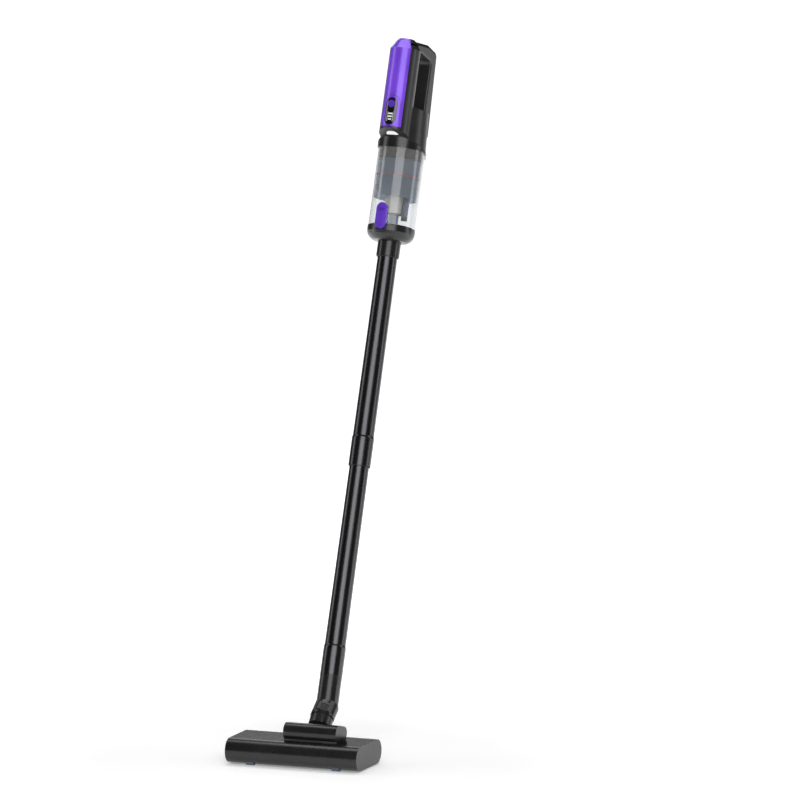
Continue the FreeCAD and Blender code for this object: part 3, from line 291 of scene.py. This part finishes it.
def filter_cloth(name, light, dark, weave):
    material, tree, shader = finish_of(name, Roughness=0.9, Sheen_Weight=0.25, Sheen_Roughness=0.5)
    spot = add(tree, "ShaderNodeTexCoord").outputs["Object"]
    warp = add(tree, "ShaderNodeTexWave", {"wave_type": "BANDS", "bands_direction": "Z"}, {
        "Vector": spot, "Scale": per_mm(weave) * WAVE_PERIOD, "Distortion": 0.6})
    weft = add(tree, "ShaderNodeTexWave", {"wave_type": "BANDS", "bands_direction": "X"}, {
        "Vector": spot, "Scale": per_mm(weave) * WAVE_PERIOD, "Distortion": 0.6})
    cross = add(tree, "ShaderNodeMath", {"operation": "MAXIMUM"})
    tree.links.new(warp.outputs["Fac"], cross.inputs[0])
    tree.links.new(weft.outputs["Fac"], cross.inputs[1])
    tree.links.new(two_tones(tree, cross.outputs["Value"], (0.3, dark), (0.8, light)),
                   shader.inputs["Base Color"])
    bump = add(tree, "ShaderNodeBump", inputs={
        "Height": cross.outputs["Value"], "Strength": 0.3, "Distance": 0.4 * MM})
    tree.links.new(bump.outputs["Normal"], shader.inputs["Normal"])
    return material


CLOTH = filter_cloth("polyester_spunbonded_cream", "#f6f3ea", "#dcd7ca", WEAVE_MM)
PLEAT_PAPER = filter_cloth("filter_paper_white", "#f4f4f2", "#dcdcda", WEAVE_MM)
FOAM = filter_cloth("foam_open_cell_grey", "#3a3a3c", "#202022", 2.2)
BRISTLE = filter_cloth("nylon_bristle_dark", "#4a4458", "#2c2836", 0.9)

# %% [markdown]
# ## Give each moulded part its finish
# A part keeps its mesh, so only its material slots change. A small bevel modifier rounds the sharp
# edges by half a millimetre, because no moulding leaves its tool with a knife edge, and the bright
# line along such an edge is what makes plastic look real.

# %% Finishes of the CAD parts
FINISHES = {
    BLACK_ABS: ["head_nose", "head_cover", "head_base", "end_cap_left", "end_cap_right", "hinge_cover",
                "neck", "elbow", "elbow_button", "cup_lid", "cup_collar"],
    GRIP_ABS: ["housing_left", "housing_right"],
    GREY_ABS: ["motor_mount", "impeller", "bulkhead", "battery_cage", "brush_core"],
    PURPLE: ["front_cover"],
    PURPLE_DEEP: ["lid_latch", "power_button"],
    WHITE_ABS: ["cup_release"],
    TUBE: ["upper_tube", "lower_tube"],
    FLANGE_METAL: ["filter_flange"],
    STEEL: ["motor", "motor_shaft", "pivot_pins", "brush_bearings", "wheel_axles", "head_screws",
            "lid_hinge_pin", "latch_pin", "charging_port"],
    CLEAR: ["dust_cup"],
    SMOKED: ["cyclone_shroud", "cyclone_tube", "inlet_pipe"],
    SMOKED_DARK: ["cyclone_plate", "tube_tip"],
    ACRYLIC: ["display_window"],
    RUBBER: ["swivel_ring", "seal_lip", "cup_seal", "lid_seal", "rear_wheel_left", "rear_wheel_right"],
    NYLON: ["front_roller_left", "front_roller_right"],
    SILICONE: ["red_ring"],
    CLOTH: ["filter_core"],
    PLEAT_PAPER: ["hepa_filter"],
    FOAM: ["exhaust_foam"],
    BRISTLE: ["brush_bristles"],
    BOARD: ["control_board"],
    CELL_WRAP: ["battery_cells"],
}
EDGE_RADII_MM = {
    "head_nose": 0.4, "head_cover": 0.4, "head_base": 0.4, "end_cap_left": 0.7, "end_cap_right": 0.7,
    "hinge_cover": 1.0, "elbow": 0.5, "elbow_button": 0.4, "cup_lid": 0.4, "cup_collar": 0.3,
    "housing_left": 0.5, "housing_right": 0.5, "lid_latch": 1.0, "power_button": 0.5, "cup_release": 0.6,
    "front_cover": 0.35, "upper_tube": 0.3, "lower_tube": 0.3, "display_window": 0.3,
}


def smooth(thing, angle=35):
    """Smooth shading that keeps edges sharper than the angle crisp."""
    for face in thing.data.polygons:
        face.use_smooth = True
    thing.data.set_sharp_from_angle(angle=math.radians(angle))


def round_edges(thing, radius):
    bevel = thing.modifiers.new("edge_radius", "BEVEL")
    bevel.width = radius * MM
    bevel.segments = 2
    bevel.limit_method = "ANGLE"
    bevel.angle_limit = math.radians(38)
    bevel.harden_normals = True
    bevel.use_clamp_overlap = True


for material, names in FINISHES.items():
    for name in names:
        part = frame["nodes"][name]
        part.data.materials.clear()
        part.data.materials.append(material)
        smooth(part)
        if name in EDGE_RADII_MM:
            round_edges(part, EDGE_RADII_MM[name])
finished = {name for names in FINISHES.values() for name in names}
print("parts with a finish:", len(finished), "without:", sorted(set(frame["nodes"]) - finished))

# %% [markdown]
# ## Making small pieces
# The pieces below are thin bands and bars that lie on round bodies. Each is built face by face with
# bmesh from a grid of points, which keeps its thickness exact wherever it sits.


# %% Mesh helpers
def new_piece(name, mesh_maker, material, body, place=None):
    """Make a mesh with bmesh in a local frame, in millimetres, and let it ride on a body."""
    mesh = bpy.data.meshes.new(name)
    work = bmesh.new()
    mesh_maker(work)
    bmesh.ops.remove_doubles(work, verts=work.verts, dist=1e-4)
    bmesh.ops.recalc_face_normals(work, faces=work.faces)
    work.transform((place or Matrix()) @ Matrix.Scale(MM, 4))
    work.to_mesh(mesh)
    work.free()
    thing = bpy.data.objects.new(name, mesh)
    bpy.context.scene.collection.objects.link(thing)
    mesh.materials.append(material)
    smooth(thing)
    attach(thing, body)
    return thing


def stitch(work, rows, closed=False):
    """Faces between rows of points that go round a bar; an open bar gets its two ends."""
    count = len(rows[0])
    for here, there in zip(rows, rows[1:] + rows[:1] if closed else rows[1:]):
        for k in range(count):
            after = (k + 1) % count
            work.faces.new((here[k], here[after], there[after], there[k]))
    if not closed:
        work.faces.new(rows[0][::-1])
        work.faces.new(rows[-1])


def shell_patch(work, centre, inner, outer, turn_from, turn_to, low, high, steps=12):
    """A curved bar round an upright axis; angles in degrees from the front, positive to the right."""
    rows = []
    for step in range(steps + 1):
        turn = math.radians(turn_from + (turn_to - turn_from) * step / steps)
        side, front = math.sin(turn), -math.cos(turn)
        rows.append([work.verts.new((centre[0] + side * r, centre[1] + front * r, z))
                     for r, z in ((inner, low), (outer, low), (outer, high), (inner, high))])
    stitch(work, rows)


def lathe(work, profile, steps=72, centre=(0, 0)):
    """A closed (radius, height) profile turned all the way round an upright axis."""
    rings = []
    for step in range(steps):
        turn = 2 * math.pi * step / steps
        rings.append([work.verts.new((centre[0] + r * math.cos(turn), centre[1] + r * math.sin(turn), z))
                      for r, z in profile])
    stitch(work, rings, closed=True)


# %% [markdown]
# ## Battery gauge
# Under the power button the window shows a small battery gauge. It is printed, so each bar is only
# a fraction of a millimetre proud. Each bar is a patch of a thin shell round the window's axis.

# %% Battery gauge on the window
FRONT_AXIS = (0, -37)
WINDOW_RADIUS = 25.3
PRINT_THICK = 0.15


def gauge(work):
    for index, width in enumerate((9, 9, 6)):
        low = 176.5 - index * 4.6
        shell_patch(work, FRONT_AXIS, WINDOW_RADIUS - 0.2, WINDOW_RADIUS + PRINT_THICK, -width, width,
                    low, low + 2.2, steps=6)
    for turn in (-11.5, 10.5):
        shell_patch(work, FRONT_AXIS, WINDOW_RADIUS - 0.2, WINDOW_RADIUS + PRINT_THICK, turn, turn + 1,
                    165.5, 180.5, steps=2)


new_piece("battery_gauge", gauge, PRINT_WHITE, "main_body", HAND)

# %% [markdown]
# ## Bezel
# The display window sits in a raised purple frame. Painted shade, in the darker copy of the lacquer, marks a
# groove round the outside of that frame and a dark rim round its inside. Both follow the round front of the
# cover, so their points are laid out flat as a stadium shape and then wrapped round the cover's upright axis.

# %% Groove and rim round the window
WINDOW_MIDDLE = 181.8
FRONT_RADIUS = 25


def stadium_points(radius, straight, steps=14):
    """Points of a stadium outline: two half circles joined by upright straights."""
    points = []
    for centre, first in ((straight, 0), (-straight, 180)):
        for step in range(steps + 1):
            turn = math.radians(first + 180 * step / steps)
            points.append((radius * math.cos(turn), centre + radius * math.sin(turn)))
    return points


def wrapped_frame(work, inner, outer, straight, base, proud, middle):
    """A frame between two stadium outlines, wrapped round the front axis."""
    loops = []
    shoulder = inner * 0.35 + outer * 0.65
    for radius, height in ((inner, base), (inner, proud), (shoulder, proud), (outer, base)):
        loop = []
        for across, up in stadium_points(radius, straight):
            turn = across / FRONT_RADIUS
            reach = FRONT_RADIUS + height
            loop.append(work.verts.new((
                reach * math.sin(turn), FRONT_AXIS[1] - reach * math.cos(turn), middle + up)))
        loops.append(loop)
    stitch(work, loops, closed=True)


STRAIGHT = 52.6 / 2 - 14  # half of the panel's height less its rounded end
new_piece("frame_shadow", lambda work: wrapped_frame(work, 14.0, 15.3, STRAIGHT, -0.3, 0.15, WINDOW_MIDDLE),
          PURPLE_PAINTED_SHADE, "main_body", HAND)
new_piece("window_rim_shade", lambda work: wrapped_frame(work, 9.8, 11.2, STRAIGHT, 0.2, 1.05, WINDOW_MIDDLE),
          PURPLE_PAINTED_SHADE, "main_body", HAND)

# %% [markdown]
# ## Seam between hand unit and cup
# The housing ends in a slanted cut over the cup's collar. A thin strip of shadow marks that gap, so
# a dark band with a slanted outline is laid just under the edge.

# %% Dark line along the slanted seam
RIM_RADIUS = 38.6 + 1.8
SEAM_UP, SEAM_SLANT = 130.8, math.radians(20.9)


def seam_band(work):
    rows = []
    for step in range(96):
        turn = 2 * math.pi * step / 96
        side, back = math.sin(turn), math.cos(turn)
        rows.append([work.verts.new((side * r, back * r, SEAM_UP - back * r * math.tan(SEAM_SLANT) + z))
                     for r, z in ((RIM_RADIUS - 0.4, -0.9), (RIM_RADIUS + 0.15, -1.3),
                                  (RIM_RADIUS + 0.15, 0.1), (RIM_RADIUS - 0.4, 0.0))])
    stitch(work, rows, closed=True)


new_piece("collar_seam", seam_band, SHADOW_GAP, "dust_cup", HAND)

# %% [markdown]
# ## Power symbol
# The round button carries the usual sign: a ring with a gap at the top and a tick through the gap.
# It is moulded in, so it is made as two raised lines on the button's face and moves with it.

# %% Power symbol on the button
BUTTON_UP = 194.1
BUTTON_FACE = -37 - 25 - 1.1


def power_symbol(work):
    ring_radius, line = 3.0, 0.35
    turns = [math.radians(a) for a in range(35, 326, 10)]
    rows = []
    for turn in turns:
        rows.append([work.verts.new((math.sin(turn) * r, BUTTON_FACE + depth, BUTTON_UP + math.cos(turn) * r))
                     for r, depth in ((ring_radius - line, 0.2), (ring_radius + line, 0.2),
                                      (ring_radius + line, -0.15), (ring_radius - line, -0.15))])
    stitch(work, rows)
    tick = bmesh.ops.create_cube(work, size=1)["verts"]
    bmesh.ops.scale(work, vec=(0.7, 0.35, 3.2), verts=tick)
    bmesh.ops.translate(work, vec=(0, BUTTON_FACE + 0.03, BUTTON_UP + 2.2), verts=tick)


new_piece("power_symbol", power_symbol, PURPLE_DEEP, "power_button", HAND)

# %% [markdown]
# ## Seams where the tubes meet
# Each socket closes on a thin rubber ring that shows as a dark line. A lathe profile with a rounded
# lip makes it, and it rides on the tube that it is pressed onto.

# %% Rubber rings at the sockets
TUBE_TOP_RADIUS = 16.2


def socket_seal(work):
    lathe(work, [(TUBE_TOP_RADIUS - 0.1, -0.7), (TUBE_TOP_RADIUS + 0.9, -0.65), (TUBE_TOP_RADIUS + 1.4, -0.4),
                 (TUBE_TOP_RADIUS + 1.5, -0.05), (TUBE_TOP_RADIUS - 0.1, -0.05)])


def seam_frame(drop):
    """The frame of a joint that many millimetres below the hand unit's origin."""
    return HAND @ Matrix.Translation((0, 0, -drop * MM))


LID_DROP, TUBE_PITCH = 24 + 25, 347.3
new_piece("spout_seal", socket_seal, RUBBER, "wand_upper", seam_frame(LID_DROP))
new_piece("middle_seal", socket_seal, RUBBER, "wand_lower", seam_frame(LID_DROP + TUBE_PITCH))
new_piece("elbow_seal", socket_seal, RUBBER, "elbow", seam_frame(LID_DROP + 2 * TUBE_PITCH))

# %% [markdown]
# ## Latch grip
# The latch is a rocker. Two raised arcs near its top tell the thumb where to press. They are drawn in the
# darker copy of the lacquer, as painted shade along them.

# %% Raised arcs on the latch
LATCH_UP, LATCH_FACE = 27, -47


def bent_bar(work, centre_up, face, radius, width, proud, turn_from, turn_to, steps=16):
    """A raised bar that follows an arc on a front face, seen from the front; angles in degrees."""
    rows = []
    for step in range(steps + 1):
        turn = math.radians(turn_from + (turn_to - turn_from) * step / steps)
        rows.append([work.verts.new((math.cos(turn) * r, face + depth, centre_up + math.sin(turn) * r))
                     for r, depth in ((radius - width / 2, 0.6), (radius + width / 2, 0.6),
                                      (radius + width / 3, -proud), (radius - width / 3, -proud))])
    stitch(work, rows)


def latch_arcs(work):
    bent_bar(work, LATCH_UP, LATCH_FACE, 6.6, 1.6, 0.45, 205, 335)
    bent_bar(work, LATCH_UP, LATCH_FACE, 3.6, 1.2, 0.4, 210, 330)


new_piece("latch_grip", latch_arcs, PURPLE_PAINTED_SHADE, "lid_latch", HAND)

# %% [markdown]
# ## Parting lines of the floor head
# The hump and the head's top are separate mouldings. Their joints are narrow gaps, and a gap reads
# as a thin line of shadow. A ribbon that follows the joint, barely proud of the surface, does that.

# %% Shadow ribbons on the head
HEAD_TOP = 42


def ribbon(work, points, across, thick):
    """A flat ribbon through points; across is its width vector and thick its thickness vector."""
    rows = [[work.verts.new(Vector(p) + shift) for shift in (-across / 2, across / 2, across / 2 + thick,
                                                             -across / 2 + thick)] for p in points]
    stitch(work, rows)


def head_lines(work):
    on_top = [(71.2, -24.8, HEAD_TOP - 0.2), (78, -27, HEAD_TOP - 0.2), (96, -31.5, HEAD_TOP - 0.2),
              (112, -35.6, HEAD_TOP - 0.2)]
    ribbon(work, on_top, Vector((0, 0.9, 0)), Vector((0, 0, 0.3)))
    on_hump = [(-14, -31.9, 44.6), (0, -31.9, 44.6), (20, -31.9, 44.6), (45, -31.9, 44.6)]
    ribbon(work, on_hump, Vector((0, 0, 1.1)), Vector((0, -0.3, 0)))


new_piece("head_parting_lines", head_lines, SHADOW_GAP, "floor_head")

# %% [markdown]
# ## Dark strips on the neck
# Two strips in the near-black that paints the shade in gaps run down the front of the neck, each with a round
# plug at its foot. The strips are thin shells on the neck's cylinder and the plugs are low domes turned about
# their own axis.

# %% Strips and plugs on the neck
NECK_RADIUS = 19.0
INLAY_TURNS = (-27, 27)
PLUG_UP = 12


def neck_strips(work):
    for turn in INLAY_TURNS:
        shell_patch(work, (0, 0), NECK_RADIUS - 0.3, NECK_RADIUS + 0.12, turn - 6, turn + 6,
                    9.5, 22.5, steps=6)


def plug(work):
    lathe(work, [(0.02, 0), (1.7, 0), (1.6, 0.35), (1.1, 0.5), (0.02, 0.55)], steps=24)


new_piece("neck_strips", neck_strips, SHADOW_GAP, "neck", NECK)
for number, turn in enumerate(INLAY_TURNS):
    on_skin = Matrix.Translation((0, -(NECK_RADIUS - 0.1) * MM, PLUG_UP * MM))
    seat = (NECK @ Matrix.Rotation(math.radians(turn), 4, "Z") @ on_skin
            @ Matrix.Rotation(math.radians(90), 4, "X"))
    new_piece(f"neck_plug_{number + 1}", plug, GRIP_ABS, "neck", seat)

# %% [markdown]
# ## Pleated filter
# The fine filter is one sheet of paper folded into a star. The CAD ring only reserves its room. A
# zigzag outline, drawn up into a wall, gives the folds that show through the smoked shroud.

# %% Pleats in place of the plain ring
PLEATS = 44
PLEAT_IN, PLEAT_OUT = 23.2, 29.6
PLEAT_LOW, PLEAT_HIGH = 65.8, 109.6


def pleats(work):
    outline = []
    for step in range(2 * PLEATS):
        turn = math.pi * step / PLEATS
        for shift in (-0.012, 0.012):
            radius = PLEAT_OUT if step % 2 else PLEAT_IN
            outline.append((radius, turn + shift))
    walls = []
    for thick in (0, -0.5):
        walls.append([[work.verts.new(((r + thick) * math.cos(t), (r + thick) * math.sin(t), z))
                       for z in (PLEAT_LOW, PLEAT_HIGH)] for r, t in outline])
    count = len(outline)
    outer, inner = walls
    for k in range(count):
        after = (k + 1) % count
        work.faces.new((outer[k][0], outer[after][0], outer[after][1], outer[k][1]))
        work.faces.new((inner[after][0], inner[k][0], inner[k][1], inner[after][1]))
        for end in (0, 1):
            work.faces.new((outer[k][end], inner[k][end], inner[after][end], outer[after][end]))


pleated = new_piece("pleated_filter", pleats, PLEAT_PAPER, "dust_cup", HAND)
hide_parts("hepa_filter")

# %% [markdown]
# ## Brush tufts
# The roll carries six rows of nylon tufts. Every tuft is a tight bunch of bristles that spreads a
# little at its tip, so a short flared prism stands for one bunch.

# %% Tufts in place of the plain strips
BRUSH_AXIS = Vector(JOINTS["brush_spin"]["pos_m"]) / MM
TUFT_ROWS, TUFT_STEP = 6, 3.1
TUFT_ROOT, TUFT_TIP = 7.2, 14.3
ROW_HALF = 92


def tufts(work):
    count = int(2 * ROW_HALF / TUFT_STEP)
    for row in range(TUFT_ROWS):
        for index in range(count + 1):
            across = -ROW_HALF + index * TUFT_STEP
            turn = math.radians(60 * row + 90) + 0.02 * math.sin(index * 1.7 + row)
            out = Vector((0, math.cos(turn), math.sin(turn)))
            sideways = Vector((0, -math.sin(turn), math.cos(turn)))
            rings = []
            for distance, half in ((TUFT_ROOT, 0.8), (TUFT_TIP, 1.25)):
                centre = BRUSH_AXIS + Vector((across, 0, 0)) + out * distance
                rings.append([work.verts.new(centre + Vector((1, 0, 0)) * half * math.cos(a) +
                                             sideways * half * math.sin(a))
                              for a in (math.pi * k / 3 for k in range(6))])
            for k in range(6):
                after = (k + 1) % 6
                work.faces.new((rings[0][k], rings[0][after], rings[1][after], rings[1][k]))
            work.faces.new(rings[0][::-1])
            work.faces.new(rings[1])


bunches = new_piece("brush_tufts", tufts, BRISTLE, "brush_roll")
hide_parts("brush_bristles")
print("tufts:", TUFT_ROWS * (int(2 * ROW_HALF / TUFT_STEP) + 1))

# %% [markdown]
# ## Floor
# A flat sheet of white paper lies under the object. Near the object it is lit by the lamps and keeps a soft
# shadow. Farther off it glows a little, as a lit backdrop does, so no horizon shows behind the tubes.

# %% Floor
def floor_plane(work):
    for x, y in ((-6000, -6000), (6000, -6000), (6000, 9000), (-6000, 9000)):
        work.verts.new((x, y, 0))
    work.verts.ensure_lookup_table()
    work.faces.new(list(work.verts))


floor_mesh = bpy.data.meshes.new("floor")
floor_work = bmesh.new()
floor_plane(floor_work)
floor_work.transform(Matrix.Scale(MM, 4))
floor_work.to_mesh(floor_mesh)
floor = bpy.data.objects.new("floor", floor_mesh)
bpy.context.scene.collection.objects.link(floor)
CLOUD_MM = 300
paper, paper_tree, paper_shader = finish_of("paper_backdrop_white", Roughness=0.9)
on_floor = add(paper_tree, "ShaderNodeTexCoord").outputs["Object"]
fibres = add(paper_tree, "ShaderNodeTexNoise", inputs={"Vector": on_floor, "Scale": per_mm(CLOUD_MM)})
paper_tree.links.new(two_tones(paper_tree, fibres.outputs["Fac"], (0.3, "#f6f6f6"), (0.7, "#fafafa")),
                     paper_shader.inputs["Base Color"])
paper_shader.inputs["Emission Color"].default_value = (1, 1, 1, 1)
span = add(paper_tree, "ShaderNodeVectorMath", {"operation": "LENGTH"}, {"Vector": on_floor})
glow = add(paper_tree, "ShaderNodeMapRange", inputs={
    "Value": span.outputs["Value"], "From Min": 0.35, "From Max": 1.4, "To Min": 0.25, "To Max": 1.0})
paper_tree.links.new(glow.outputs["Result"], paper_shader.inputs["Emission Strength"])
floor_mesh.materials.append(paper)

# %% [markdown]
# ## Camera
# A long lens far away shows a tall thin object without making its foot look larger than its top. An
# orthographic camera is the limit of that: it has no perspective, and one number sets how much fits.

# %% Camera
VIEW_AZIMUTH, VIEW_ELEVATION = 21.75, 10.6
LOOK_AT = Vector((25, 362.3, 540.6)) * MM
FRAME_WIDTH = 1.3008

azimuth, elevation = math.radians(VIEW_AZIMUTH), math.radians(VIEW_ELEVATION)
towards_camera = Vector((math.sin(azimuth) * math.cos(elevation), -math.cos(azimuth) * math.cos(elevation),
                         math.sin(elevation)))
camera_data = bpy.data.cameras.new("camera")
camera_data.type = "ORTHO"
camera_data.ortho_scale = FRAME_WIDTH
camera = bpy.data.objects.new("camera", camera_data)
camera.location = LOOK_AT + towards_camera * 4
camera.rotation_mode = "QUATERNION"
camera.rotation_quaternion = (-towards_camera).to_track_quat("-Z", "Y")
bpy.context.scene.collection.objects.link(camera)
bpy.context.scene.camera = camera
print("camera at", [round(v, 2) for v in camera.location])


# %% [markdown]
# ## Lights
# The key stands near the camera and draws the broad stripe down the middle of the tubes. Two narrow
# strips stand at the sides, one box hangs overhead for the top of the head, and a weak one behind
# gives the flat top its sheen. Brightness is given per area, so a box can grow without glaring.

# %% Lights
def soft_box(name, turn, height, distance, width, tall, brightness):
    """An upright soft box that faces the object; turn in degrees from the camera, positive to its right."""
    angle = math.radians(VIEW_AZIMUTH + turn)
    middle = Vector((25 * MM, 0.2, 0.55))
    spot = middle + Vector((math.sin(angle) * distance, -math.cos(angle) * distance, height - 0.55))
    data = bpy.data.lights.new(name, "AREA")
    data.shape, data.size, data.size_y = "RECTANGLE", width, tall
    data.energy = brightness * math.pi * width * tall
    lamp = bpy.data.objects.new(name, data)
    lamp.location = spot
    lamp.rotation_mode = "QUATERNION"
    lamp.rotation_quaternion = (middle - spot).to_track_quat("-Z", "Y")
    lamp.visible_camera = False
    lamp.visible_transmission = False
    bpy.context.scene.collection.objects.link(lamp)


soft_box("key", 0, 2.0, 2.8, 2.3, 2.4, 3.2)
soft_box("left_strip", -98, 1.0, 2.2, 0.6, 3.0, 2.2)
soft_box("right_strip", 88, 1.2, 2.2, 0.6, 3.0, 2.2)
soft_box("overhead", 180, 3.2, 0.6, 2.4, 1.6, 2.8)
soft_box("back", 196, 1.5, 2.6, 1.8, 1.4, 1.3)

# %% [markdown]
# ## Room
# The room is white where the camera or the clear cup looks through to it. For reflections and for
# fill light it is nearly dark, which is the work that black flags do beside a real set.

# %% Room
world = bpy.data.worlds.new("studio")
bpy.context.scene.world = world
world.use_nodes = True
room = world.node_tree
room.nodes.clear()
path = add(room, "ShaderNodeLightPath")
dim = add(room, "ShaderNodeBackground", inputs={"Color": (1, 1, 1, 1), "Strength": 0.12})
flagged = add(room, "ShaderNodeBackground", inputs={"Color": (1, 1, 1, 1), "Strength": 0.03})
white = add(room, "ShaderNodeBackground", inputs={"Color": (1, 1, 1, 1), "Strength": 1.0})
reflected = add(room, "ShaderNodeMixShader", inputs={"Fac": path.outputs["Is Glossy Ray"]})
room.links.new(dim.outputs["Background"], reflected.inputs[1])
room.links.new(flagged.outputs["Background"], reflected.inputs[2])
seen = add(room, "ShaderNodeMath", {"operation": "MAXIMUM"})
room.links.new(path.outputs["Is Camera Ray"], seen.inputs[0])
room.links.new(path.outputs["Is Transmission Ray"], seen.inputs[1])
mixed = add(room, "ShaderNodeMixShader", inputs={"Fac": seen.outputs["Value"]})
room.links.new(reflected.outputs["Shader"], mixed.inputs[1])
room.links.new(white.outputs["Background"], mixed.inputs[2])
add(room, "ShaderNodeOutputWorld", inputs={"Surface": mixed.outputs["Shader"]})
bpy.context.scene.view_settings.view_transform = "Standard"
